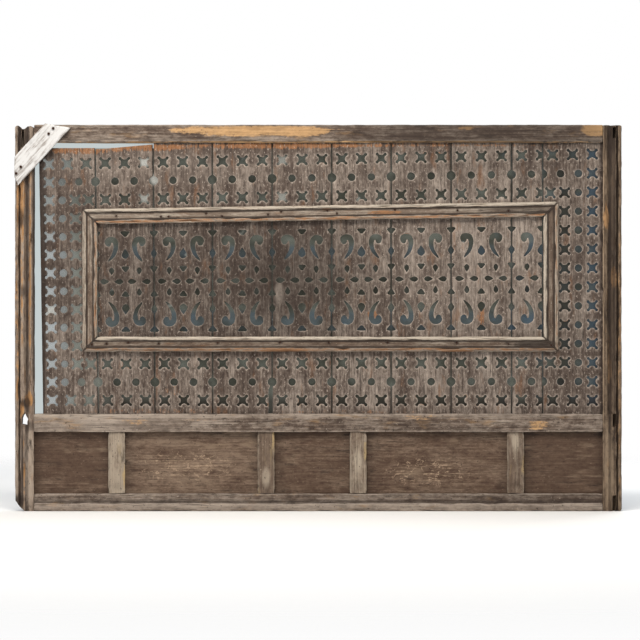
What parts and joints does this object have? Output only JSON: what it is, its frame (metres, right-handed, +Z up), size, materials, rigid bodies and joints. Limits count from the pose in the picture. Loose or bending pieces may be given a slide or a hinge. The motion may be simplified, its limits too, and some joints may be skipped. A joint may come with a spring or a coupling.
{
  "type": "mashrabiya screen",
  "caption": "Long low pierced wooden window screen: sawn boards with crosses, rounds, commas and drops, a raised mitred moulding, plain lower panels, weathered, with a lath over one corner.",
  "frame": {"origin": "middle of the bottom rail's underside, on its flat face", "axes": "+X along the screen to the right as seen from the street, +Z up, and the front faces -Y"},
  "size_m": [1.824, 0.0608, 1.1637],
  "materials": {
    "frame_wood": "bare, weathered grey-brown, rough",
    "stile_wood": "bare, weathered brown, worn mouldings",
    "board_wood": "bare, weathered grey-brown with open grain",
    "moulding_wood": "bare, weathered grey above and orange-brown below",
    "panel_wood": "dark, worn old finish with scuffs",
    "painted_lath": "old white paint, rubbed along the grain",
    "nail_iron": "rusty"
  },
  "bodies": {
    "root": {"top_rail": "frame_wood", "middle_rail": "frame_wood", "bottom_rail": "frame_wood", "left_stile": "stile_wood", "right_stile": "stile_wood", "muntin_1": "frame_wood", "muntin_2": "frame_wood", "muntin_3": "frame_wood", "muntin_4": "frame_wood", "lower_panel_1": "panel_wood", "lower_panel_2": "panel_wood", "lower_panel_3": "panel_wood", "lower_panel_4": "panel_wood", "lower_panel_5": "panel_wood", "fret_board_1": "board_wood", "fret_board_2": "board_wood", "fret_board_3": "board_wood", "fret_board_4": "board_wood", "fret_board_5": "board_wood", "fret_board_6": "board_wood", "fret_board_7": "board_wood", "fret_board_8": "board_wood", "fret_board_9": "board_wood", "fret_board_10": "board_wood", "moulding_top": "moulding_wood", "moulding_bottom": "moulding_wood", "moulding_left": "moulding_wood", "moulding_right": "moulding_wood", "corner_brace": "painted_lath", "brace_nail_1": "nail_iron", "brace_nail_2": "nail_iron", "brace_nail_3": "nail_iron", "brace_nail_4": "nail_iron"}
  },
  "joints": []
}
